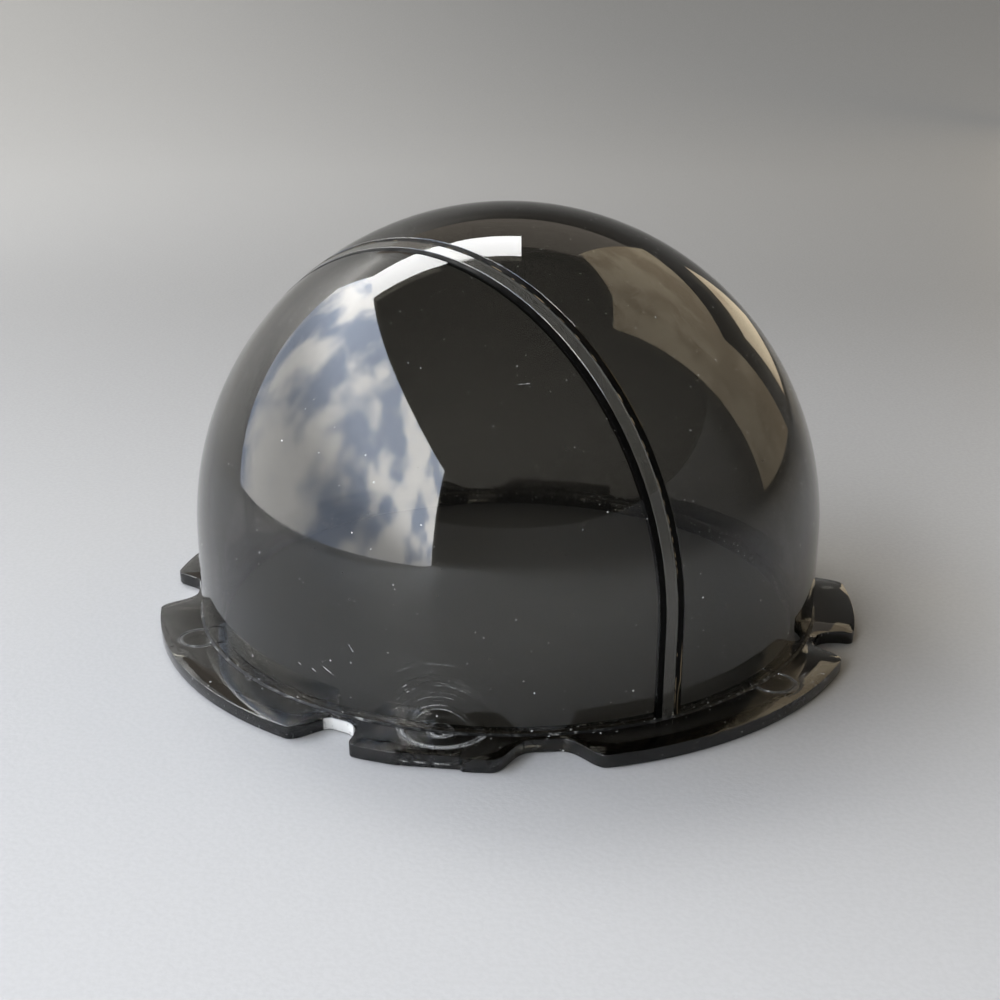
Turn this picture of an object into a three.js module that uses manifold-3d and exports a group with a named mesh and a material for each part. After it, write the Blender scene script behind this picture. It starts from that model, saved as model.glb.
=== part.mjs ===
// Smoked bubble cover of a large dome camera: a domed shell with a paler strip let into a shallow channel
// over it between two black seams, bonded to a flat mounting flange with keying notches in its rim.
// Millimetres, +Z up, the underside of the flange at Z = 0 and the dome's axis on Z.
// An azimuth is in degrees from the front (-Y) towards the right (+X).

import * as THREE from "three";
import { mergeVertices } from "three/addons/utils/BufferGeometryUtils.js";
import Module from "manifold-3d";

const wasm = await Module();
wasm.setup();

// Clearance left between two bonded pieces
const GAP = 0.3;

// Flange
const FLANGE_RADIUS = 85;
const FLANGE_THICKNESS = 3;
const BORE_RADIUS = 70;
const NOTCH_FLOOR_RADIUS = 76.9;
const CURVE_STEPS = 8;

// Each group has a narrow keyed notch, a short tab and a wide open notch. The uneven spacing keys the cover.
const GROUP_AZIMUTHS = [-95, 0, 95, 180];
const KEYED_NOTCH_AZIMUTH = -27;
const WIDE_NOTCH_AZIMUTH = 5.9;
const KEYED_NOTCH_START = -5.6;
const KEYED_NOTCH_END = 6;
const WIDE_NOTCH_HALF_ANGLE = 8;

// Facet left on the front tab where the moulding gate was trimmed off
const GATE_START_AZIMUTH = -15;
const GATE_END_AZIMUTH = -5.9;
const GATE_DEPTH = 0.8;

// Shallow ring marks that moulding leaves on the flange
const MARK_GROOVE_DEPTH = 0.2;
const MARK_GROOVE_WIDTH = 0.8;
const MARK_SEGMENTS = 28;
const GATE_MARK_AZIMUTH = -10.3;
const GATE_MARKS = [
  { radius: 9.2, centreRadius: 72.1 },
  { radius: 2.4, centreRadius: 74.6 },
];
const PIN_MARK_AZIMUTHS = [-67, 49, 110, 170, -128];
const PIN_MARK = { radius: 4.6, centreRadius: 77.2 };

// Dome
const DOME_RADIUS = 75;
const DOME_WALL = 3;
const SKIRT_HEIGHT = 20.5;
const DOME_SEGMENTS = 72;
const DOME_RINGS = 15;
const DOME_FOOT_Z = FLANGE_THICKNESS + GAP;
const DOME_CENTRE_Z = FLANGE_THICKNESS + SKIRT_HEIGHT;

// Channel that runs over the outside of the dome in an upright plane, with the strip and its seams in it
const CHANNEL_AZIMUTH = -40.7;
const CHANNEL_OFFSET = 28.9;
const CHANNEL_DEPTH = 0.9;
const STRIP_WIDTH = 2.6;
const SEAM_WIDTH = 1.3;

// Cured cement round the dome's foot
const BEAD_WIDTH = 1.1;
const BEAD_HEIGHT = 1.4;

const radians = THREE.MathUtils.degToRad;

// Point of the flange's outline, in the plane of the flange.
function polar(azimuth, radius) {
  const angle = radians(azimuth);
  return [radius * Math.sin(angle), -radius * Math.cos(angle)];
}

// Solid that manifold-3d can join and cut, made from a three.js geometry.
function solidFrom(geometry) {
  const bare = geometry.clone();
  bare.deleteAttribute("normal");
  bare.deleteAttribute("uv");
  const merged = mergeVertices(bare, 1e-4);
  const mesh = new wasm.Mesh({
    numProp: 3,
    vertProperties: new Float32Array(merged.attributes.position.array),
    triVerts: new Uint32Array(merged.index.array),
  });
  return new wasm.Manifold(mesh);
}

// three.js geometry made from a manifold-3d solid.
function geometryFrom(solid) {
  const mesh = solid.getMesh();
  const geometry = new THREE.BufferGeometry();
  geometry.setAttribute("position", new THREE.BufferAttribute(mesh.vertProperties, 3));
  geometry.setIndex(new THREE.BufferAttribute(mesh.triVerts, 1));
  geometry.computeVertexNormals();
  return geometry;
}

// Named mesh with a material of its own.
function part(name, geometry, material) {
  const mesh = new THREE.Mesh(geometry, material);
  mesh.name = name;
  return mesh;
}

// Body of revolution about Z from a profile of [radius, height] points.
function turned(profile) {
  const points = profile.map(([radius, height]) => new THREE.Vector2(radius, height));
  const geometry = new THREE.LatheGeometry(points, DOME_SEGMENTS);
  geometry.rotateX(Math.PI / 2);
  return geometry;
}

// Runs the outline round the rim from one azimuth to another.
function followRim(shape, fromAzimuth, toAzimuth) {
  shape.absarc(0, 0, FLANGE_RADIUS, radians(fromAzimuth - 90), radians(toAzimuth - 90), false);
}

// Cubic curve of the outline whose ends and handles are given as [azimuth, radius].
function curveTo(shape, handleA, handleB, end) {
  shape.bezierCurveTo(...polar(...handleA), ...polar(...handleB), ...polar(...end));
}

// Narrow notch: a soft S-curve down one side and a steep wall with a small corner on the other.
function drawKeyedNotch(shape, centre) {
  const floor = NOTCH_FLOOR_RADIUS;
  curveTo(shape, [centre - 3.1, FLANGE_RADIUS], [centre - 3.1, floor], [centre - 0.9, floor]);
  shape.lineTo(...polar(centre + 1, floor));
  curveTo(shape, [centre + 3.4, floor], [centre + 4.5, floor + 2.8], [centre + 4.7, floor + 6.4]);
  curveTo(
    shape,
    [centre + 4.8, FLANGE_RADIUS - 0.6],
    [centre + 5.2, FLANGE_RADIUS],
    [centre + KEYED_NOTCH_END, FLANGE_RADIUS],
  );
}

// Wide notch: the same soft S-curve down both sides.
function drawWideNotch(shape, centre) {
  const floor = NOTCH_FLOOR_RADIUS;
  const rimEnd = [centre + WIDE_NOTCH_HALF_ANGLE, FLANGE_RADIUS];
  curveTo(shape, [centre - 5.6, FLANGE_RADIUS], [centre - 5.2, floor], [centre - 1.8, floor]);
  shape.lineTo(...polar(centre + 1.8, floor));
  curveTo(shape, [centre + 5.2, floor], [centre + 5.6, FLANGE_RADIUS], rimEnd);
}

// Flat facet that steps back out to the rim at its end.
function drawGateFacet(shape) {
  shape.lineTo(...polar(GATE_END_AZIMUTH - 0.5, FLANGE_RADIUS - GATE_DEPTH));
  shape.lineTo(...polar(GATE_END_AZIMUTH, FLANGE_RADIUS));
}

// Everything that interrupts the round rim, in order of azimuth.
function rimFeatures() {
  const features = [
    { start: GATE_START_AZIMUTH, end: GATE_END_AZIMUTH, draw: drawGateFacet },
  ];
  for (const group of GROUP_AZIMUTHS) {
    const keyed = group + KEYED_NOTCH_AZIMUTH;
    const wide = group + WIDE_NOTCH_AZIMUTH;
    features.push({
      start: keyed + KEYED_NOTCH_START,
      end: keyed + KEYED_NOTCH_END,
      draw: (shape) => drawKeyedNotch(shape, keyed),
    });
    features.push({
      start: wide - WIDE_NOTCH_HALF_ANGLE,
      end: wide + WIDE_NOTCH_HALF_ANGLE,
      draw: (shape) => drawWideNotch(shape, wide),
    });
  }
  return features.sort((a, b) => a.start - b.start);
}

// Outline of the flange with its notches and the round bore.
function flangeShape() {
  const shape = new THREE.Shape();
  const features = rimFeatures();
  shape.moveTo(...polar(features[0].start, FLANGE_RADIUS));
  features.forEach((feature, index) => {
    feature.draw(shape);
    const next = features[index + 1];
    const nextStart = next ? next.start : features[0].start + 360;
    followRim(shape, feature.end, nextStart);
  });
  const bore = new THREE.Path();
  for (let quarter = 0; quarter < 4; quarter += 1) {
    bore.absarc(0, 0, BORE_RADIUS, (-quarter * Math.PI) / 2, (-(quarter + 1) * Math.PI) / 2, true);
  }
  shape.holes.push(bore);
  return shape;
}

// Ring that cuts one shallow mark into the top of the flange.
function markCutter(azimuth, mark) {
  const inner = mark.radius - MARK_GROOVE_WIDTH / 2;
  const outer = mark.radius + MARK_GROOVE_WIDTH / 2;
  const low = FLANGE_THICKNESS - MARK_GROOVE_DEPTH;
  const high = FLANGE_THICKNESS + 1;
  const profile = [
    [inner, low],
    [outer, low],
    [outer, high],
    [inner, high],
    [inner, low],
  ];
  const points = profile.map(([radius, height]) => new THREE.Vector2(radius, height));
  const geometry = new THREE.LatheGeometry(points, MARK_SEGMENTS);
  const [x, y] = polar(azimuth, mark.centreRadius);
  geometry.rotateX(Math.PI / 2);
  geometry.translate(x, y, 0);
  return solidFrom(geometry);
}

function mountingFlange() {
  const plate = new THREE.ExtrudeGeometry(flangeShape(), {
    depth: FLANGE_THICKNESS,
    bevelEnabled: false,
    curveSegments: CURVE_STEPS,
  });
  let solid = solidFrom(plate);
  for (const mark of GATE_MARKS) {
    solid = solid.subtract(markCutter(GATE_MARK_AZIMUTH, mark));
  }
  for (const azimuth of PIN_MARK_AZIMUTHS) {
    solid = solid.subtract(markCutter(azimuth, PIN_MARK));
  }
  return geometryFrom(solid);
}

// Quarter circle of the dome's profile, from the equator up to the axis.
function domeArc(radius) {
  const points = [];
  for (let ring = 0; ring <= DOME_RINGS; ring += 1) {
    const angle = (Math.PI / 2) * (ring / DOME_RINGS);
    const across = ring === DOME_RINGS ? 0 : radius * Math.cos(angle);
    points.push([across, DOME_CENTRE_Z + radius * Math.sin(angle)]);
  }
  return points;
}

// Layer of the bubble between two radii: a hemisphere on a short straight skirt.
function domeLayer(innerRadius, outerRadius, footZ) {
  const inner = domeArc(innerRadius).reverse();
  const foot = [
    [innerRadius, footZ],
    [outerRadius, footZ],
  ];
  return solidFrom(turned([...inner, ...foot, ...domeArc(outerRadius)]));
}

// Upright slab between two distances along the channel's normal.
function channelSlab(near, far) {
  const size = 4 * DOME_RADIUS;
  const slab = new THREE.BoxGeometry(far - near, size, size);
  slab.translate((near + far) / 2, 0, 0);
  slab.rotateZ(radians(CHANNEL_AZIMUTH - 90));
  return solidFrom(slab);
}

// Distances along the channel's normal of its two edges and of the strip's two edges.
function channelEdges() {
  const stripInner = CHANNEL_OFFSET - STRIP_WIDTH / 2;
  const stripOuter = CHANNEL_OFFSET + STRIP_WIDTH / 2;
  return {
    channelInner: stripInner - SEAM_WIDTH,
    stripInner,
    stripOuter,
    channelOuter: stripOuter + SEAM_WIDTH,
  };
}

// Smoked bubble with the channel cut into its outside.
function domeBubble() {
  const { channelInner, channelOuter } = channelEdges();
  const bubble = domeLayer(DOME_RADIUS - DOME_WALL, DOME_RADIUS, DOME_FOOT_Z);
  const outside = domeLayer(DOME_RADIUS - CHANNEL_DEPTH, DOME_RADIUS + 2, DOME_FOOT_Z - 1);
  const channel = outside.intersect(channelSlab(channelInner, channelOuter));
  return geometryFrom(bubble.subtract(channel));
}

// Inlay that lies in the channel between two distances along its normal, clear of what it touches.
function inlay(near, far) {
  const layer = domeLayer(DOME_RADIUS - CHANNEL_DEPTH + GAP, DOME_RADIUS, DOME_FOOT_Z);
  return geometryFrom(layer.intersect(channelSlab(near + GAP / 2, far - GAP / 2)));
}

// Concave ring of cement in the corner between the flange and the dome.
function footBead() {
  const inside = DOME_RADIUS + GAP;
  const low = FLANGE_THICKNESS + GAP;
  return turned([
    [inside, low],
    [inside + BEAD_WIDTH, low],
    [inside + BEAD_WIDTH * 0.45, low + BEAD_HEIGHT * 0.3],
    [inside, low + BEAD_HEIGHT],
    [inside, low],
  ]);
}

function smokedPlastic() {
  return new THREE.MeshStandardMaterial({
    color: 0x3a3a38,
    roughness: 0.08,
    transparent: true,
    opacity: 0.72,
  });
}

function paleSmokedPlastic() {
  return new THREE.MeshStandardMaterial({
    color: 0x5c5c58,
    roughness: 0.12,
    transparent: true,
    opacity: 0.72,
  });
}

function blackAdhesive() {
  return new THREE.MeshStandardMaterial({ color: 0x060606, roughness: 0.35 });
}

function curedCement() {
  return new THREE.MeshStandardMaterial({
    color: 0x565654,
    roughness: 0.5,
    transparent: true,
    opacity: 0.8,
  });
}

function buildCover() {
  const cover = new THREE.Group();
  const { channelInner, stripInner, stripOuter, channelOuter } = channelEdges();
  const strip = inlay(stripInner, stripOuter);
  const innerSeam = inlay(channelInner, stripInner);
  const outerSeam = inlay(stripOuter, channelOuter);

  cover.add(part("mounting_flange", mountingFlange(), smokedPlastic()));
  cover.add(part("dome_bubble", domeBubble(), smokedPlastic()));
  cover.add(part("inlaid_strip", strip, paleSmokedPlastic()));
  cover.add(part("seam_inner", innerSeam, blackAdhesive()));
  cover.add(part("seam_outer", outerSeam, blackAdhesive()));
  cover.add(part("foot_bead", footBead(), curedCement()));
  return cover;
}

export default buildCover();
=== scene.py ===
"""Smoked bubble cover of a large dome camera, standing empty on a pale table.

Metres, +Z up, the underside of the flange at Z = 0 and the dome's axis on Z.
An azimuth is in degrees from the front (-Y) towards the right (+X).
"""

import math

import bmesh
import bpy
from mathutils import Matrix, Vector, noise


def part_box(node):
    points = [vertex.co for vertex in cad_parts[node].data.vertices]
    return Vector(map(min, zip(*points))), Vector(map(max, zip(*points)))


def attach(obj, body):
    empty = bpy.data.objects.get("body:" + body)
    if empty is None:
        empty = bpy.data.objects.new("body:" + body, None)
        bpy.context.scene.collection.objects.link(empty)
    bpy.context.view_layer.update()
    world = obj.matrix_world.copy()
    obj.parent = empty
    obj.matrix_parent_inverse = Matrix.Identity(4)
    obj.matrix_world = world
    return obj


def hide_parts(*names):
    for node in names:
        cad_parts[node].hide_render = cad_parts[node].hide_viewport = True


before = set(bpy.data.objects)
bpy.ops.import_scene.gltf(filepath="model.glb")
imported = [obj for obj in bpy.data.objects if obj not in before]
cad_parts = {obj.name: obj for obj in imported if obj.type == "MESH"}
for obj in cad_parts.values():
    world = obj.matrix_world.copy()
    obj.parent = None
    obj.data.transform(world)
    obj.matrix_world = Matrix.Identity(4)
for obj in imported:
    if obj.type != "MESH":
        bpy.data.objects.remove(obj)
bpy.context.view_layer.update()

MM = 0.001

# Flange
FLANGE_RADIUS = 85 * MM
FLANGE_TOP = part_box("mounting_flange")[1].z
FLANGE_EDGE = 0.22 * MM
BORE_RADIUS = 70 * MM
BORE_SEGMENTS = 240
NOTCH_FLOOR_RADIUS = 76.9 * MM
GROUP_AZIMUTHS = (-95, 0, 95, 180)
KEYED_NOTCH_AZIMUTH = -27
WIDE_NOTCH_AZIMUTH = 5.9
GATE_START_AZIMUTH = -15
GATE_END_AZIMUTH = -5.9
GATE_DEPTH = 0.8 * MM
GATE_CORNER = 0.4
GATE_RAGGEDNESS = 0.16 * MM

# Notches, in degrees from their own azimuth to where the rim begins
KEYED_NOTCH_BEFORE = 5.6
KEYED_NOTCH_AFTER = 6
WIDE_NOTCH_REACH = 8

# Ring marks in the flange's top, as (azimuth, distance of the centre from the axis, radius)
GATE_MARKS = ((-10.3, 72.1 * MM, 9.2 * MM), (-10.3, 74.6 * MM, 2.4 * MM))
PIN_MARKS = tuple((azimuth, 77.2 * MM, 4.6 * MM) for azimuth in (-67, 49, 110, 170, -128))
MARK_DEPTH = 0.2 * MM
MARK_WIDTH = 0.8 * MM

# Dome
DOME_RADIUS = 75 * MM
DOME_WALL = 3 * MM
DOME_FOOT = FLANGE_TOP + 0.05 * MM
DOME_CENTRE = Vector((0, 0, FLANGE_TOP + 20.5 * MM))
DOME_SEGMENTS = 288
DOME_RINGS = 72
SKIRT_RINGS = 8

# Channel that runs over the outside of the dome in an upright plane, as distances along its normal
CHANNEL_AZIMUTH = math.radians(-40.7)
CHANNEL_NORMAL = Vector((math.sin(CHANNEL_AZIMUTH), -math.cos(CHANNEL_AZIMUTH), 0))
CHANNEL_ALONG = Vector((math.cos(CHANNEL_AZIMUTH), math.sin(CHANNEL_AZIMUTH), 0))
CHANNEL_INNER = 26.3 * MM
STRIP_INNER = 27.6 * MM
STRIP_OUTER = 30.2 * MM
CHANNEL_OUTER = 31.5 * MM
CHANNEL_FLOOR = DOME_RADIUS - 0.9 * MM
CHANNEL_STATIONS = 640
EDGE_CHAMFER = 0.09 * MM
FIT = 0.02 * MM

# Thin smear of adhesive over the strip's or the dome's edge, as heights above the surface
SMEAR_EDGE = 0.012 * MM
SMEAR_CROWN = 0.035 * MM

# Cured cement round the dome's foot
BEAD_WIDTH = 0.5 * MM
BEAD_HEIGHT = 0.36 * MM
BEAD_STATIONS = 1800

# Film of air under the flange, so that its clear underside and the table don't share one plane
TABLE_CLEARANCE = 0.12 * MM

# Smoked plastic
PLASTIC_IOR = 1.58
SMOKE_DENSITY = 462.0
SMOKE_COLOUR = (0.075, 0.055, 0.0, 1)
FLANGE_DENSITY = 375.0
STRIP_DENSITY = 300.0

# Short scratches in the dome's surface, in millimetres, as (place, direction along the scratch, length)
DOME_SCRATCHES = (
    ((3.0, -57.3, 71.9), (1.0, 0.1, 0.05), 2.6),
    ((4.2, -57.6, 71.4), (0.1, -0.6, 0.8), 1.4),
    ((-20.3, -51.2, 74.4), (-0.3, 0.5, 0.9), 2.2),
    ((36.9, -53.3, 61.3), (0.7, 0.5, -0.3), 1.5),
    ((36.5, -56.3, 57.0), (0.9, 0.3, 0.4), 1.3),
    ((-31.8, -67.9, 18.9), (0.5, -0.2, -0.8), 2.4),
    ((-38.0, -64.7, 13.0), (0.8, -0.4, -0.45), 9.0),
    ((-40.0, -63.4, 11.5), (0.8, -0.4, -0.42), 12.0),
    ((-43.5, -61.1, 12.0), (0.8, -0.4, -0.38), 10.0),
)

# Fan of rub marks low at the front
RUB_TURNED_ABOUT = (-13 * MM, -72 * MM, 2 * MM)
RUB_CENTRE = (-15.5 * MM, -73.4 * MM, 11 * MM)

# Camera, with its angles in degrees and its lens in millimetres for a sensor 36 mm wide
CAMERA_LENS = 52.97
CAMERA_DISTANCE = 339.1 * MM
CAMERA_HEIGHT = 150 * MM
CAMERA_YAW = -0.33
CAMERA_PITCH = 20.01
CAMERA_ROLL = 0.28


# ---------------------------------------------------------------- meshes

def mesh_object(name, bm, sharp_angle=32):
    """Object made from a closed mesh, smooth except at edges sharper than the angle."""
    bmesh.ops.recalc_face_normals(bm, faces=bm.faces)
    limit = math.radians(sharp_angle)
    for face in bm.faces:
        face.smooth = True
    for edge in bm.edges:
        edge.smooth = edge.calc_face_angle(0) < limit
    mesh = bpy.data.meshes.new(name)
    bm.to_mesh(mesh)
    bm.free()
    made = bpy.data.objects.new(name, mesh)
    bpy.context.scene.collection.objects.link(made)
    return made


def join_loops(bm, first, second):
    """Quads between two closed loops of vertices with the same count."""
    count = len(first)
    for i in range(count):
        j = (i + 1) % count
        bm.faces.new((first[i], first[j], second[j], second[i]))


def polar(azimuth, radius):
    """Point in the plane of the flange."""
    angle = math.radians(azimuth)
    return Vector((radius * math.sin(angle), -radius * math.cos(angle)))


def cubic(start, handle_a, handle_b, end, steps=14):
    """Points of a cubic curve after its start. Each point is given as (azimuth, radius)."""
    a, b, c, d = (polar(*point) for point in (start, handle_a, handle_b, end))
    points = []
    for step in range(1, steps + 1):
        t = step / steps
        s = 1 - t
        points.append(a * s ** 3 + b * 3 * s * s * t + c * 3 * s * t * t + d * t ** 3)
    return points


def keyed_notch(centre):
    """Narrow notch: a soft curve down one side, a steep wall with a small corner on the other."""
    rim, floor = FLANGE_RADIUS, NOTCH_FLOOR_RADIUS
    start, end = (centre - KEYED_NOTCH_BEFORE, rim), (centre + KEYED_NOTCH_AFTER, rim)
    low_start, low_end = (centre - 0.9, floor), (centre + 1, floor)
    wall = (centre + 4.7, floor + 6.4 * MM)
    points = [polar(*start)]
    points += cubic(start, (centre - 3.1, rim), (centre - 3.1, floor), low_start)
    points.append(polar(*low_end))
    points += cubic(low_end, (centre + 3.4, floor), (centre + 4.5, floor + 2.8 * MM), wall)
    points += cubic(wall, (centre + 4.8, rim - 0.6 * MM), (centre + 5.2, rim), end, steps=8)
    return points


def wide_notch(centre):
    """Wide notch: the same soft curve down both sides."""
    rim, floor = FLANGE_RADIUS, NOTCH_FLOOR_RADIUS
    start, end = (centre - WIDE_NOTCH_REACH, rim), (centre + WIDE_NOTCH_REACH, rim)
    low_start, low_end = (centre - 1.8, floor), (centre + 1.8, floor)
    points = [polar(*start)]
    points += cubic(start, (centre - 5.6, rim), (centre - 5.2, floor), low_start)
    points.append(polar(*low_end))
    points += cubic(low_end, (centre + 5.2, floor), (centre + 5.6, rim), end)
    return points


def gate_facet():
    """Facet where the moulding gate was trimmed off, a little ragged along its length."""
    points = [polar(GATE_START_AZIMUTH, FLANGE_RADIUS)]
    steps = 26
    last = polar(GATE_END_AZIMUTH - GATE_CORNER, FLANGE_RADIUS - GATE_DEPTH)
    for step in range(1, steps + 1):
        point = points[0].lerp(last, step / steps)
        ragged = noise.noise(Vector((step * 0.7, 3.1, 0))) * GATE_RAGGEDNESS
        points.append(point + point.normalized() * ragged)
    points.append(polar(GATE_END_AZIMUTH, FLANGE_RADIUS))
    return points


def flange_outline():
    """Closed outline of the flange, anticlockwise from above."""
    features = [(GATE_START_AZIMUTH, GATE_END_AZIMUTH, gate_facet())]
    for group in GROUP_AZIMUTHS:
        keyed = group + KEYED_NOTCH_AZIMUTH
        wide = group + WIDE_NOTCH_AZIMUTH
        features.append((keyed - KEYED_NOTCH_BEFORE, keyed + KEYED_NOTCH_AFTER, keyed_notch(keyed)))
        features.append((wide - WIDE_NOTCH_REACH, wide + WIDE_NOTCH_REACH, wide_notch(wide)))
    features.sort(key=lambda feature: feature[0])
    outline = []
    for index, (_, end, points) in enumerate(features):
        outline += points
        following = features[(index + 1) % len(features)][0]
        sweep = (following - end) % 360
        steps = max(1, round(sweep))
        outline += [polar(end + sweep * step / steps, FLANGE_RADIUS) for step in range(1, steps)]
    return outline


def inset(outline, distance):
    """The outline moved inwards by a small distance."""
    moved = []
    count = len(outline)
    for i, point in enumerate(outline):
        along = (outline[(i + 1) % count] - outline[i - 1]).normalized()
        moved.append(point + Vector((-along.y, along.x)) * distance)
    return moved


def ring_cutter(azimuth, centre_radius, radius, segments=72):
    """Closed ring that cuts one shallow mark with sloping sides into the flange's top."""
    centre = polar(azimuth, centre_radius)
    half = MARK_WIDTH / 2
    profile = (
        (radius - half * 0.5, FLANGE_TOP - MARK_DEPTH),
        (radius + half * 0.5, FLANGE_TOP - MARK_DEPTH),
        (radius + half * 1.8, FLANGE_TOP + 1 * MM),
        (radius - half * 1.8, FLANGE_TOP + 1 * MM),
    )
    bm = bmesh.new()
    loops = []
    for across, height in profile:
        loop = []
        for k in range(segments):
            turn = 2 * math.pi * k / segments
            x = centre.x + across * math.cos(turn)
            y = centre.y + across * math.sin(turn)
            loop.append(bm.verts.new((x, y, height)))
        loops.append(loop)
    for i, loop in enumerate(loops):
        join_loops(bm, loop, loops[(i + 1) % len(loops)])
    return mesh_object("mark_cutter", bm)


def flange_plate():
    """Plate with softened edges, its notches and the round bore, before the marks are cut."""
    outline = flange_outline()
    edge = FLANGE_EDGE
    levels = (
        (edge, 0),
        (edge * 0.3, edge * 0.3),
        (0, edge),
        (0, FLANGE_TOP - edge),
        (edge * 0.3, FLANGE_TOP - edge * 0.3),
        (edge, FLANGE_TOP),
    )
    bm = bmesh.new()
    rims, bores = [], []
    for distance, height in levels:
        rims.append([bm.verts.new((*point, height)) for point in inset(outline, distance)])
        bore = [polar(360 * k / BORE_SEGMENTS, BORE_RADIUS + distance) for k in range(BORE_SEGMENTS)]
        bores.append([bm.verts.new((*point, height)) for point in bore])
    for loops in (rims, bores):
        for lower, upper in zip(loops, loops[1:]):
            join_loops(bm, lower, upper)
    for level in (0, -1):
        edges = []
        for loop in (rims[level], bores[level]):
            edges += [bm.edges.get((loop[i - 1], loop[i])) for i in range(len(loop))]
        bmesh.ops.triangle_fill(bm, edges=edges, use_beauty=True)
    return mesh_object("mounting_flange_body", bm)


def mounting_flange():
    """Plate with the gate's and the pins' ring marks cut into its top."""
    plate = flange_plate()
    cutters = [ring_cutter(*mark) for mark in GATE_MARKS + PIN_MARKS]
    for cutter in cutters:
        carve(plate, cutter)
    made = applied(plate, "flange_plate", 24)
    for cutter in cutters:
        bpy.data.objects.remove(cutter)
    return made


def dome_profile(radius):
    """Profile of a hemisphere on a straight skirt, from the foot to the pole, as (radius, height)."""
    points = []
    for k in range(SKIRT_RINGS):
        height = DOME_FOOT + (DOME_CENTRE.z - DOME_FOOT) * k / SKIRT_RINGS
        points.append((radius, height))
    for k in range(DOME_RINGS):
        angle = math.pi / 2 * k / DOME_RINGS
        points.append((radius * math.cos(angle), DOME_CENTRE.z + radius * math.sin(angle)))
    return points


def whole_dome():
    """Mesh of the whole bubble, as a closed body with an outer and an inner wall."""
    bm = bmesh.new()
    feet = []
    for radius in (DOME_RADIUS, DOME_RADIUS - DOME_WALL):
        loops = []
        for across, height in dome_profile(radius):
            loop = []
            for k in range(DOME_SEGMENTS):
                turn = 2 * math.pi * k / DOME_SEGMENTS
                loop.append(bm.verts.new((across * math.cos(turn), across * math.sin(turn), height)))
            loops.append(loop)
        for lower, upper in zip(loops, loops[1:]):
            join_loops(bm, lower, upper)
        pole = bm.verts.new((0, 0, DOME_CENTRE.z + radius))
        for k in range(DOME_SEGMENTS):
            bm.faces.new((loops[-1][k - 1], loops[-1][k], pole))
        feet.append(loops[0])
    join_loops(bm, feet[0], feet[1])
    bmesh.ops.recalc_face_normals(bm, faces=bm.faces)
    return bm


def arch_point(distance, radius, station, foot):
    """Point over the dome in the upright plane at a distance along the channel's normal.

    The station runs from 0 at the right-hand foot over the top to 1 at the left-hand foot.
    """
    reach = math.sqrt(radius * radius - distance * distance)
    skirt = DOME_CENTRE.z - foot
    length = 2 * skirt + math.pi * reach
    travelled = station * length
    base = CHANNEL_NORMAL * distance
    if travelled < skirt:
        return base + CHANNEL_ALONG * reach + Vector((0, 0, foot + travelled))
    if travelled > length - skirt:
        return base - CHANNEL_ALONG * reach + Vector((0, 0, foot + length - travelled))
    angle = (travelled - skirt) / reach
    across = CHANNEL_ALONG * (reach * math.cos(angle))
    return base + across + Vector((0, 0, DOME_CENTRE.z + reach * math.sin(angle)))


def swept_arch(name, section_at, foot=DOME_FOOT, sharp_angle=50):
    """Closed body swept over the dome.

    section_at(station) gives its section there, as points of (distance, radius).
    """
    bm = bmesh.new()
    loops = []
    for k in range(CHANNEL_STATIONS + 1):
        station = k / CHANNEL_STATIONS
        section = section_at(station)
        loops.append([bm.verts.new(arch_point(*point, station, foot)) for point in section])
    for lower, upper in zip(loops, loops[1:]):
        join_loops(bm, lower, upper)
    ends = [bm.faces.new(loops[0]), bm.faces.new(loops[-1])]
    bmesh.ops.triangulate(bm, faces=ends)
    return mesh_object(name, bm, sharp_angle)


def applied(source, name, sharp_angle):
    """New object with the source's modifiers made permanent. The source is removed."""
    bpy.context.view_layer.update()
    evaluated = source.evaluated_get(bpy.context.evaluated_depsgraph_get())
    bm = bmesh.new()
    bm.from_mesh(evaluated.to_mesh())
    bpy.data.objects.remove(source)
    bmesh.ops.remove_doubles(bm, verts=bm.verts, dist=1e-6)
    return mesh_object(name, bm, sharp_angle)


def carve(target, cutter):
    cut = target.modifiers.new("cut", "BOOLEAN")
    cut.operation = "DIFFERENCE"
    cut.solver = "EXACT"
    cut.object = cutter


def dome_bubble():
    """Bubble with the channel, whose upper edges are slightly broken, cut into its outside."""
    inner, outer, above = CHANNEL_INNER, CHANNEL_OUTER, 1 * MM
    chamfer_start = DOME_RADIUS - EDGE_CHAMFER
    flare = above + EDGE_CHAMFER
    section = (
        (inner, CHANNEL_FLOOR),
        (inner * 0.75 + outer * 0.25, CHANNEL_FLOOR),
        ((inner + outer) / 2, CHANNEL_FLOOR),
        (inner * 0.25 + outer * 0.75, CHANNEL_FLOOR),
        (outer, CHANNEL_FLOOR),
        (outer, chamfer_start),
        (outer + flare, DOME_RADIUS + above),
        (inner - flare, DOME_RADIUS + above),
        (inner, chamfer_start),
    )
    cutter = swept_arch("channel_cutter", lambda station: section, foot=DOME_FOOT - 2 * MM)
    bubble = mesh_object("bubble_body", whole_dome())
    carve(bubble, cutter)
    made = applied(bubble, "bubble", 25)
    bpy.data.objects.remove(cutter)
    return made


def inlaid_strip():
    """Pale strip with slightly broken upper edges, flush with the dome."""
    inner, outer = STRIP_INNER + FIT, STRIP_OUTER - FIT
    low = CHANNEL_FLOOR + FIT
    section = [(outer, low), (outer, DOME_RADIUS - EDGE_CHAMFER)]
    steps = 8
    first, last = outer - EDGE_CHAMFER, inner + EDGE_CHAMFER
    for step in range(steps + 1):
        section.append((first + (last - first) * step / steps, DOME_RADIUS))
    section += [(inner, DOME_RADIUS - EDGE_CHAMFER), (inner, low)]
    return swept_arch("strip", lambda station: section, sharp_angle=30)


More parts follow.
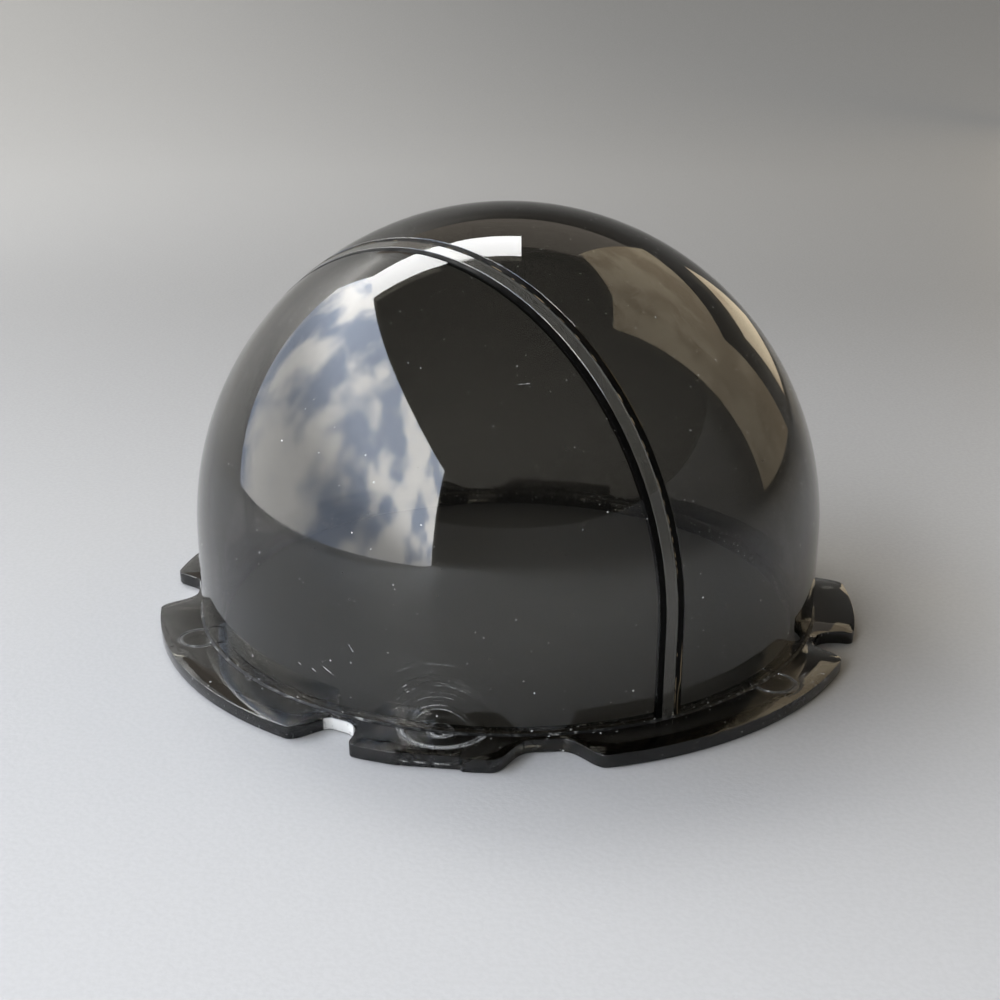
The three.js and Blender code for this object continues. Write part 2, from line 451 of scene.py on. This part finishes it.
def wobble(position, seed, fine):
    """Uneven edge of squeezed-out adhesive, from -1 to 1: slow waves with fine jags on them."""
    slow = noise.noise(Vector((position * 9, seed, 0.3)))
    jags = noise.noise(Vector((position * 120, seed, 4.7)))
    return slow * (1 - fine) + jags * fine


def adhesive_seam(name, near, far, seed, smear):
    """Black seam: fills its gap to just below the surface, and laps over its far edge in a ragged smear."""
    near, far = near + FIT, far - FIT
    low = CHANNEL_FLOOR + FIT
    shy = DOME_RADIUS - EDGE_CHAMFER
    film = DOME_RADIUS + SMEAR_EDGE
    crown = DOME_RADIUS + SMEAR_CROWN

    def section_at(station):
        reach = smear * (1 + 0.9 * wobble(station, seed, 0.5))
        return [
            (near, low),
            (near, shy),
            (near * 0.7 + far * 0.3, shy),
            (near * 0.3 + far * 0.7, crown),
            (far + reach * 0.8, crown),
            (far + reach, film),
            (far, film),
            (far, shy),
            (far, low),
        ]

    return swept_arch(name, section_at)


def foot_bead():
    """Uneven fillet of cured cement in the corner between the flange and the dome, with small bubbles."""
    bm = bmesh.new()
    loops = []
    inside = DOME_RADIUS + 0.02 * MM
    low = FLANGE_TOP + 0.02 * MM
    for k in range(BEAD_STATIONS):
        turn = 2 * math.pi * k / BEAD_STATIONS
        around = Vector((math.cos(turn), math.sin(turn), 0))
        slow = noise.noise(around * 4 + Vector((0, 0, 2.0)))
        fine = noise.noise(around * 55 + Vector((0, 0, 7.0)))
        width = BEAD_WIDTH * (1 + 0.22 * slow + 0.25 * fine)
        height = BEAD_HEIGHT * (1 + 0.3 * slow - 0.2 * fine)
        bubble = max(0.0, noise.noise(around * 130 + Vector((0, 0, 5.0))) - 0.25) * 0.5 * MM
        section = (
            (inside, low),
            (inside + width, low),
            (inside + width * 0.86 + bubble * 0.4, low + height * 0.12 + bubble * 0.4),
            (inside + width * 0.55 + bubble, low + height * 0.3 + bubble),
            (inside + width * 0.3 + bubble, low + height * 0.52 + bubble),
            (inside + width * 0.12, low + height * 0.8),
            (inside, low + height),
        )
        loops.append([bm.verts.new(around * across + Vector((0, 0, z))) for across, z in section])
    for k, loop in enumerate(loops):
        join_loops(bm, loops[k - 1], loop)
    return mesh_object("foot_cement", bm, 40)


# ---------------------------------------------------------------- materials

def add(tree, kind, inputs=None, **settings):
    """Shader node with its settings and inputs. An input is a value or another node's socket."""
    made = tree.nodes.new(kind)
    for key, value in settings.items():
        setattr(made, key, value)
    for key, value in (inputs or {}).items():
        if isinstance(value, bpy.types.NodeSocket):
            tree.links.new(value, made.inputs[key])
        else:
            made.inputs[key].default_value = value
    return made


def new_material(name):
    material = bpy.data.materials.new(name)
    material.use_nodes = True
    material.node_tree.nodes.clear()
    return material, material.node_tree


def calculate(tree, operation, a, b=0.0, clamp=False):
    made = add(tree, "ShaderNodeMath", {0: a, 1: b}, operation=operation, use_clamp=clamp)
    return made.outputs[0]


def product(tree, first, *others):
    result = first
    for other in others:
        result = calculate(tree, "MULTIPLY", result, other)
    return result


def strongest(tree, first, *others):
    """The largest of several masks at each place."""
    result = first
    for other in others:
        result = calculate(tree, "MAXIMUM", result, other)
    return result


def away_from(tree, value, level):
    """How far a value is from a level, on either side."""
    return calculate(tree, "ABSOLUTE", calculate(tree, "SUBTRACT", value, level))


def ramp(tree, value, low, high, out_low=0.0, out_high=1.0):
    """Smooth step of a value between two limits."""
    inputs = {"Value": value, "From Min": low, "From Max": high, "To Min": out_low, "To Max": out_high}
    return add(tree, "ShaderNodeMapRange", inputs, interpolation_type="SMOOTHSTEP").outputs[0]


def vector_math(tree, operation, *vectors, output="Value"):
    made = add(tree, "ShaderNodeVectorMath", dict(enumerate(vectors)), operation=operation)
    return made.outputs[output]


def along_axes(tree, vector):
    """The three parts of a vector, each as a socket."""
    return tuple(add(tree, "ShaderNodeSeparateXYZ", {0: vector}).outputs)


def place(tree):
    return add(tree, "ShaderNodeTexCoord").outputs["Object"]


def from_axis(tree, where):
    """Distance from the dome's axis."""
    x, y, _ = along_axes(tree, where)
    flat = add(tree, "ShaderNodeCombineXYZ", {0: x, 1: y}).outputs[0]
    return vector_math(tree, "LENGTH", flat)


def on_walls(tree):
    """1 where the surface stands upright."""
    facing = add(tree, "ShaderNodeNewGeometry").outputs["Normal"]
    upwards = calculate(tree, "ABSOLUTE", along_axes(tree, facing)[2])
    return ramp(tree, upwards, 0.35, 0.15)


def spot_near(tree, where, centre, radius, soft):
    """1 within a radius of a point, falling smoothly to 0."""
    return ramp(tree, vector_math(tree, "DISTANCE", where, centre), radius + soft, radius)


def clouds(tree, where, scale, detail=3.0):
    return add(tree, "ShaderNodeTexNoise", {"Vector": where, "Scale": scale, "Detail": detail}).outputs[0]


def specks(tree, where, scale, size, share):
    """Small round specks in a share of the cells of a scattered pattern."""
    cells = add(tree, "ShaderNodeTexVoronoi", {"Vector": where, "Scale": scale})
    pick = add(tree, "ShaderNodeSeparateColor", {"Color": cells.outputs["Color"]}).outputs[0]
    round_spot = ramp(tree, cells.outputs["Distance"], size, size * 0.6)
    chosen = calculate(tree, "LESS_THAN", pick, share)
    return product(tree, round_spot, chosen)


def froth(tree, where):
    """Tiny pale bubbles that the cement leaves beside it."""
    return specks(tree, where, scale=850.0, size=0.24, share=0.4)


def hairlines(tree, where):
    """Fine straight scratches in patches, lying roughly one way."""
    inputs = {"Vector": where, "Scale": (1.0, 0.05, 1.0), "Rotation": (0.3, 0.5, 0.8)}
    stretched = add(tree, "ShaderNodeMapping", inputs).outputs[0]
    lines = ramp(tree, clouds(tree, stretched, scale=2600.0, detail=2.0), 0.69, 0.72)
    patches = ramp(tree, clouds(tree, where, scale=45.0), 0.5, 0.68)
    return product(tree, lines, patches)


def two_tone(tree, share, first, second):
    """Colour between two, by the share of the second."""
    made = add(tree, "ShaderNodeMix", {0: share, 6: first, 7: second}, data_type="RGBA")
    return made.outputs[2]


def bumps(tree, height, strength, distance):
    inputs = {"Height": height, "Strength": strength, "Distance": distance}
    return add(tree, "ShaderNodeBump", inputs).outputs[0]


def finished(material, tree, surface, volume=None):
    """The material with its surface, and its volume where it has one, joined to the output."""
    inputs = {"Surface": surface}
    if volume:
        inputs["Volume"] = volume
    add(tree, "ShaderNodeOutputMaterial", inputs)
    return material


def absorbing(tree, density):
    """Smoke-coloured body."""
    inputs = {"Color": SMOKE_COLOUR, "Density": density}
    return add(tree, "ShaderNodeVolumeAbsorption", inputs).outputs[0]


def smoked(name, density, haze, dusty, marks):
    """Smoked clear plastic: a mirror-smooth surface over an absorbing body, with dust and fine wear, and on
    the flange painted highlights in the same pale colour.

    haze is the least roughness, dusty is the share of places that hold a speck, and marks gives the wear,
    on the flange together with the painted highlights.
    """
    material, tree = new_material(name)
    where = place(tree)
    smudges = ramp(tree, clouds(tree, where, scale=28.0, detail=4.0), 0.46, 0.7, 0.0, 0.05)
    rough = calculate(tree, "ADD", smudges, product(tree, hairlines(tree, where), 0.22))
    rough = calculate(tree, "ADD", rough, haze, clamp=True)
    dimples = bumps(tree, clouds(tree, where, scale=60.0, detail=2.0), strength=0.02, distance=0.4 * MM)
    glass = add(tree, "ShaderNodeBsdfPrincipled", {
        "Base Color": (1, 1, 1, 1),
        "Transmission Weight": 1.0,
        "IOR": PLASTIC_IOR,
        "Roughness": rough,
        "Normal": dimples,
    }).outputs[0]
    dust = specks(tree, where, scale=210.0, size=0.05, share=dusty)
    lint = specks(tree, where, scale=620.0, size=0.085, share=dusty * 0.4)
    powder_and_glint = add(tree, "ShaderNodeBsdfPrincipled", {
        "Base Color": (0.62, 0.62, 0.6, 1),
        "Roughness": 0.9,
        "Specular IOR Level": 0.2,
    }).outputs[0]
    # On the flange the marks also hold painted highlights, which take the pale powder colour
    soil_and_glints = strongest(tree, dust, lint, marks(tree, where))
    blend = add(tree, "ShaderNodeMixShader", {0: soil_and_glints, 1: glass, 2: powder_and_glint}).outputs[0]
    return finished(material, tree, blend, absorbing(tree, density))


def short_scratch(tree, where, centre, along, length):
    """1 on a thin straight scratch, given in millimetres."""
    course = Vector(along).normalized()
    away = vector_math(tree, "SUBTRACT", where, Vector(centre) * MM, output="Vector")
    travelled = calculate(tree, "ABSOLUTE", vector_math(tree, "DOT_PRODUCT", away, course))
    aside = vector_math(tree, "CROSS_PRODUCT", away, course, output="Vector")
    on_line = ramp(tree, vector_math(tree, "LENGTH", aside), 0.14 * MM, 0.06 * MM)
    within = ramp(tree, travelled, length * 0.55 * MM, length * 0.4 * MM)
    return product(tree, on_line, within)


def scratches(tree, where):
    """The short scratches, broken up along their length."""
    lines = [short_scratch(tree, where, *scratch) for scratch in DOME_SCRATCHES]
    broken = ramp(tree, clouds(tree, where, scale=1500.0), 0.36, 0.6, 0.08, 0.65)
    return product(tree, strongest(tree, *lines), broken)


def rubbed_fan(tree, where):
    """Fan of fine arcs low at the front, where something has turned against the dome."""
    from_turn = vector_math(tree, "DISTANCE", where, RUB_TURNED_ABOUT)
    inputs = {"W": from_turn, "Scale": 2100.0, "Detail": 1.0}
    waves = add(tree, "ShaderNodeTexNoise", inputs, noise_dimensions="1D").outputs[0]
    arcs = ramp(tree, waves, 0.6, 0.68)
    broken = ramp(tree, clouds(tree, where, scale=420.0), 0.42, 0.6)
    fan = spot_near(tree, where, RUB_CENTRE, radius=5 * MM, soft=5 * MM)
    return product(tree, fan, product(tree, arcs, broken), 0.4)


def dome_marks(tree, where):
    """A few short scratches, a rubbed fan of fine arcs, and pale froth at the foot in patches."""
    height = along_axes(tree, where)[2]
    at_foot = ramp(tree, height, FLANGE_TOP + 2.2 * MM, FLANGE_TOP + 0.3 * MM)
    patches = ramp(tree, clouds(tree, where, scale=55.0), 0.4, 0.6, 0.5, 1.0)
    foot_froth = product(tree, froth(tree, where), at_foot, patches)
    return strongest(tree, scratches(tree, where), rubbed_fan(tree, where), foot_froth)


def ring_wear(tree, where, grain):
    """Whitened rings, strong round the trimmed gate and weaker at the pin marks."""
    rings = []
    for marks, whitened in ((GATE_MARKS, 1.0), (PIN_MARKS, 0.45)):
        for azimuth, centre_radius, radius in marks:
            centre = (*polar(azimuth, centre_radius), FLANGE_TOP)
            off_ring = away_from(tree, vector_math(tree, "DISTANCE", where, centre), radius)
            rings.append(ramp(tree, off_ring, 0.95 * MM, 0.4 * MM, 0.0, whitened))
    return product(tree, strongest(tree, *rings), ramp(tree, grain, 0.36, 0.6, 0.12, 0.42))


def notch_floor_painted_highlight(tree, where, grain):
    """Pale patches painted on the upright walls at the notch floors on the left, the window's side: a
    painted highlight in place of the window's reflection.
    """
    radius = from_axis(tree, where)
    near_floor = ramp(tree, radius, NOTCH_FLOOR_RADIUS + 1.4 * MM, NOTCH_FLOOR_RADIUS + 0.8 * MM)
    off_bore = ramp(tree, radius, DOME_RADIUS - 1 * MM, DOME_RADIUS)
    # Only the left, the side of the window, gets the painted highlight
    on_left = ramp(tree, along_axes(tree, where)[0], -14 * MM, -20 * MM)
    floors = product(tree, on_walls(tree), product(tree, near_floor, off_bore), on_left)
    return product(tree, floors, ramp(tree, grain, 0.3, 0.45, 0.35, 0.95))


def gate_painted_glint(tree, where, grain):
    """Pale line painted low on the facet where the gate was trimmed off: a painted glint in place of the
    facet's reflections.
    """
    centre = (*polar(-10.5, 84.3 * MM), 1.6 * MM)
    facet = product(tree, spot_near(tree, where, centre, radius=4.5 * MM, soft=3 * MM), on_walls(tree))
    # Painted glint: a thin pale line along the facet at this height
    off_glint_line = away_from(tree, along_axes(tree, where)[2], 1.1 * MM)
    glint_line = product(tree, facet, ramp(tree, off_glint_line, 0.3 * MM, 0.1 * MM))
    return product(tree, glint_line, ramp(tree, grain, 0.42, 0.56, 0.0, 0.4))


def scuff_wear(tree, where, grain):
    """Scuffed stretch of rim at the right."""
    centre = (*polar(55, 83.5 * MM), FLANGE_TOP)
    scuffed = spot_near(tree, where, centre, radius=2 * MM, soft=3 * MM)
    return product(tree, scuffed, ramp(tree, grain, 0.56, 0.66, 0.0, 0.5))


def flange_marks_and_glints(tree, where):
    """Whitened rings, a painted highlight on the notch walls on the left, a painted glint on the trimmed
    gate's facet, a scuff, and froth beside the dome.
    """
    grain = clouds(tree, where, scale=900.0, detail=4.0)
    by_dome = ramp(tree, from_axis(tree, where), DOME_RADIUS + 2.2 * MM, DOME_RADIUS + 0.6 * MM)
    # Real wear together with two painted highlights, on the left notch walls and on the gate's facet
    wear = [make(tree, where, grain) for make in (ring_wear, notch_floor_painted_highlight, gate_painted_glint, scuff_wear)]
    return strongest(tree, *wear, product(tree, froth(tree, where), by_dome))


def strip_plastic():
    """Paler smoked plastic that lets a little scattered light through."""
    material, tree = new_material("strip_plastic")
    where = place(tree)
    mottle = clouds(tree, where, scale=400.0)
    plastic = add(tree, "ShaderNodeBsdfPrincipled", {
        "Base Color": two_tone(tree, mottle, (0.34, 0.33, 0.29, 1), (0.5, 0.48, 0.43, 1)),
        "Transmission Weight": 0.9,
        "IOR": PLASTIC_IOR,
        "Roughness": ramp(tree, clouds(tree, where, scale=160.0), 0.3, 0.7, 0.05, 0.14),
    }).outputs[0]
    return finished(material, tree, plastic, absorbing(tree, STRIP_DENSITY))


def painted_edge_glints(tree, where):
    """Golden glints painted on the adhesive: broken streaks along the strip, and a wavy line low down along
    the channel's wall.
    """
    across = vector_math(tree, "DOT_PRODUCT", where, CHANNEL_NORMAL)
    from_strip = away_from(tree, across, STRIP_INNER)
    patches = ramp(tree, clouds(tree, where, scale=420.0), 0.5, 0.62)
    glint_by_strip = product(tree, ramp(tree, from_strip, 0.12 * MM, 0.05 * MM), patches)

    wander = ramp(tree, clouds(tree, where, scale=160.0, detail=1.0), 0.3, 0.7, 0.15 * MM, 0.65 * MM)
    from_line = away_from(tree, calculate(tree, "SUBTRACT", across, CHANNEL_INNER), wander)
    low_down = ramp(tree, along_axes(tree, where)[2], 21 * MM, 15 * MM, 0.0, 0.9)
    low_glint_line = product(tree, ramp(tree, from_line, 0.16 * MM, 0.08 * MM), low_down)
    return strongest(tree, glint_by_strip, low_glint_line)


def black_adhesive():
    """Matte black adhesive with fine grain, with golden glints painted along its edges."""
    material, tree = new_material("black_adhesive")
    where = place(tree)
    grain = clouds(tree, where, scale=1400.0)
    worn = ramp(tree, grain, 0.3, 0.75)
    black = two_tone(tree, worn, (0.001, 0.001, 0.001, 1), (0.005, 0.005, 0.0045, 1))
    adhesive = add(tree, "ShaderNodeBsdfPrincipled", {
        # The tan colour is a painted glint along the seam's edges
        "Base Color": two_tone(tree, painted_edge_glints(tree, where), black, (0.2, 0.16, 0.1, 1)),
        "Roughness": ramp(tree, clouds(tree, where, scale=300.0), 0.35, 0.7, 0.3, 0.6),
        "IOR": 1.5,
        "Specular IOR Level": 0.06,
        "Normal": bumps(tree, grain, strength=0.25, distance=0.1 * MM),
    }).outputs[0]
    return finished(material, tree, adhesive)


def cured_cement():
    """Dark cement with pale grains and froth in patches."""
    material, tree = new_material("cured_cement")
    where = place(tree)
    grain = clouds(tree, where, scale=700.0, detail=4.0)
    bubbles = specks(tree, where, scale=900.0, size=0.3, share=0.3)
    patches = ramp(tree, clouds(tree, where, scale=60.0, detail=2.0), 0.46, 0.66, 0.08, 0.85)
    pale = product(tree, strongest(tree, ramp(tree, grain, 0.52, 0.66), bubbles), patches)
    cement = add(tree, "ShaderNodeBsdfPrincipled", {
        "Base Color": two_tone(tree, pale, (0.008, 0.008, 0.0075, 1), (0.4, 0.4, 0.38, 1)),
        "Roughness": ramp(tree, grain, 0.3, 0.7, 0.3, 0.6),
        "IOR": 1.5,
        "Specular IOR Level": 0.2,
        "Normal": bumps(tree, grain, strength=0.6, distance=0.2 * MM),
    }).outputs[0]
    return finished(material, tree, cement)


def table_surface():
    """Pale paper with painted shade: darker towards the back and the right, where the lamps' light falls
    off.
    """
    material, tree = new_material("pale_table")
    where = place(tree)
    grain = clouds(tree, where, scale=900.0)
    x, y, _ = along_axes(tree, where)
    # Painted shade: the colour darkens towards the back and the right in place of the light's falloff
    to_back = ramp(tree, y, -0.3, 0.4, 0.03, 0.97)
    to_right = ramp(tree, x, -1.0, 0.25, 0.5, 1.0)
    fibre = ramp(tree, grain, 0.35, 0.65, -0.03, 0.03)
    painted_shade_share = calculate(tree, "ADD", product(tree, to_back, to_right), fibre, clamp=True)
    paper = add(tree, "ShaderNodeBsdfPrincipled", {
        "Base Color": two_tone(tree, painted_shade_share, (0.52, 0.52, 0.52, 1), (0.2, 0.198, 0.193, 1)),
        "Roughness": 0.55,
        "Specular IOR Level": 0.25,
        "Normal": bumps(tree, grain, strength=0.15, distance=0.3 * MM),
    }).outputs[0]
    return finished(material, tree, paper)


# ---------------------------------------------------------------- studio

def table_and_sweep():
    """Flat pale table that curves up all round into a wall, which is high at the back and low in front."""
    bm = bmesh.new()
    flat, reach = 0.9, 3.3
    low_rise, high_rise = 0.9, 3.2
    flat_steps, wall_steps, segments = 12, 24, 120
    loops = []
    for step in range(1, flat_steps + wall_steps + 1):
        climb = max(0, step - flat_steps) / wall_steps
        angle = math.pi / 2 * climb
        across = flat * min(1, step / flat_steps) + (reach - flat) * math.sin(angle)
        loop = []
        for k in range(segments):
            turn = 2 * math.pi * k / segments
            back = (1 + math.sin(turn)) / 2
            rise = low_rise + (high_rise - low_rise) * back ** 1.5
            height = rise * (1 - math.cos(angle))
            x, y = across * math.cos(turn), across * math.sin(turn)
            loop.append(bm.verts.new((x, y, height - TABLE_CLEARANCE)))
        loops.append(loop)
    for lower, upper in zip(loops, loops[1:]):
        join_loops(bm, lower, upper)
    bm.faces.new(loops[0])
    table = mesh_object("table", bm)
    for polygon in table.data.polygons:
        if polygon.normal.z < 0:
            polygon.flip()
    table.data.materials.append(table_surface())


def glowing(name, colour, shade, strength, low_share, fade_height, fade_slope):
    """Emission that grows from a share of its strength at the foot to all of it at the fade's height.

    With a slope, the faded part climbs towards the back. The shade is a second colour in soft patches.
    """
    material, tree = new_material(name)
    where = place(tree)
    _, y, z = along_axes(tree, where)
    climb = product(tree, calculate(tree, "ADD", y, 1.0), fade_slope)
    height = calculate(tree, "SUBTRACT", z, climb)
    power = ramp(tree, height, 0.0, fade_height, strength * low_share, strength)
    patches = ramp(tree, clouds(tree, where, scale=3.4), 0.4, 0.6)
    tone = two_tone(tree, patches, shade or colour, colour)
    glow = add(tree, "ShaderNodeEmission", {"Color": tone, "Strength": power}).outputs[0]
    return finished(material, tree, glow)


def light_panel(name, corners, colour, strength, low_share=1.0, fade_height=1.0, fade_slope=0.0,
                shade=None, in_gloss=True):
    """Flat softbox with the given corners.

    The camera doesn't see the panel, only its light and, unless told otherwise, its reflection.
    """
    bm = bmesh.new()
    bm.faces.new([bm.verts.new(corner) for corner in corners])
    mesh = bpy.data.meshes.new(name)
    bm.to_mesh(mesh)
    bm.free()
    mesh.materials.append(glowing(name, colour, shade, strength, low_share, fade_height, fade_slope))
    panel = bpy.data.objects.new(name, mesh)
    bpy.context.scene.collection.objects.link(panel)
    panel.visible_camera = False
    panel.visible_glossy = in_gloss
    panel.visible_transmission = in_gloss


def window_and_overhead():
    """Upright window on the left, in two soft tones, and a strip of light overhead at its back end."""
    wall, ceiling = -0.7, 0.98
    front, back = -1.5, 0.875
    overhead_front, overhead_right = 0.53, 0.05
    light_panel(
        "window_panel",
        (
            (wall, front, 0.03),
            (wall, 0.2, 0.02),
            (wall, 0.83, 0.68),
            (wall, back, ceiling),
            (wall, front, 1.05),
        ),
        colour=(1.0, 0.99, 0.97, 1), shade=(0.40, 0.46, 0.58, 1), strength=10.0,
        low_share=0.35, fade_height=0.42, fade_slope=0.28,
    )
    light_panel(
        "overhead_panel",
        (
            (wall, overhead_front, ceiling),
            (overhead_right, overhead_front, ceiling),
            (overhead_right, back, ceiling),
            (wall, back, ceiling),
        ),
        colour=(1.0, 1.0, 1.0, 1), strength=9.0,
    )


def warm_walls():
    """Dim warm walls at the back right, in three panels."""
    colour, shade, strength = (1.0, 0.84, 0.6, 1), (0.72, 0.58, 0.4, 1), 1.25
    light_panel(
        "warm_panel",
        ((1.09, 0.20, 0.05), (0.83, 0.64, 0.05), (0.83, 0.64, 1.65), (1.09, 0.20, 2.0)),
        colour, strength, low_share=0.5, shade=shade,
    )
    light_panel(
        "warm_high_panel",
        ((0.83, 0.64, 0.50), (0.44, 1.04, 0.56), (0.44, 1.04, 1.35), (0.83, 0.64, 1.65)),
        colour, strength, low_share=0.6, shade=shade,
    )
    light_panel(
        "warm_low_panel",
        ((0.70, 0.79, 0.05), (0.46, 1.03, 0.05), (0.46, 1.03, 0.33), (0.70, 0.79, 0.28)),
        colour, strength * 1.15, shade=shade,
    )


def background_lights():
    """Bright light on the left of the backdrop, and a faint warm panel high at the back."""
    light_panel(
        "backdrop_panel",
        ((-3.0, 1.0, 2.3), (-1.2, 1.0, 2.3), (-1.2, 2.8, 2.1), (-3.0, 2.8, 2.1)),
        colour=(1.0, 0.99, 0.96, 1), strength=12.0, in_gloss=False,
    )
    light_panel(
        "back_panel",
        ((-1.1, 2.3, 1.4), (1.1, 2.3, 1.4), (1.1, 2.1, 2.8), (-1.1, 2.1, 2.8)),
        colour=(1.0, 0.89, 0.76, 1), strength=0.4,
    )


def dim_room():
    world = bpy.data.worlds.new("dim_room")
    world.use_nodes = True
    world.node_tree.nodes["Background"].inputs["Color"].default_value = (0.078, 0.075, 0.069, 1)
    bpy.context.scene.world = world


def front_camera():
    """Camera in front of the part and above it, turned by its yaw, pitch and roll."""
    data = bpy.data.cameras.new("camera")
    data.sensor_width = 36
    data.lens = CAMERA_LENS
    data.clip_start = 0.01
    data.clip_end = 20
    camera = bpy.data.objects.new("camera", data)
    yaw, pitch, roll = (math.radians(angle) for angle in (CAMERA_YAW, CAMERA_PITCH, CAMERA_ROLL))
    forward = Vector((
        math.sin(yaw) * math.cos(pitch),
        math.cos(yaw) * math.cos(pitch),
        -math.sin(pitch),
    ))
    right = forward.cross(Vector((0, 0, 1))).normalized()
    up = right.cross(forward)
    turned_right = right * math.cos(roll) + up * math.sin(roll)
    turned_up = up * math.cos(roll) - right * math.sin(roll)
    place_at = Matrix((turned_right, turned_up, -forward)).transposed().to_4x4()
    place_at.translation = Vector((0, -CAMERA_DISTANCE, CAMERA_HEIGHT))
    camera.matrix_world = place_at
    bpy.context.scene.collection.objects.link(camera)
    bpy.context.scene.camera = camera


# ---------------------------------------------------------------- assembly

def stands_for(piece, node, material):
    """The piece takes the place and the finish of a CAD node."""
    piece.data.materials.clear()
    piece.data.materials.append(material)
    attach(piece, "root")
    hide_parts(node)


front_camera()
table_and_sweep()
window_and_overhead()
warm_walls()
background_lights()
dim_room()

adhesive = black_adhesive()
inner_seam = adhesive_seam("adhesive_inner", CHANNEL_INNER, STRIP_INNER, seed=10.0, smear=0.2 * MM)
outer_seam = adhesive_seam("adhesive_outer", STRIP_OUTER, CHANNEL_OUTER, seed=14.0, smear=0.1 * MM)
flange_plastic = smoked("smoked_flange", FLANGE_DENSITY, haze=0.02, dusty=0.6, marks=flange_marks_and_glints)
dome_plastic = smoked("smoked_dome", SMOKE_DENSITY, haze=0.008, dusty=0.45, marks=dome_marks)

stands_for(mounting_flange(), "mounting_flange", flange_plastic)
stands_for(dome_bubble(), "dome_bubble", dome_plastic)
stands_for(inlaid_strip(), "inlaid_strip", strip_plastic())
stands_for(inner_seam, "seam_inner", adhesive)
stands_for(outer_seam, "seam_outer", adhesive)
stands_for(foot_bead(), "foot_bead", cured_cement())

bpy.context.scene.view_settings.view_transform = "Standard"
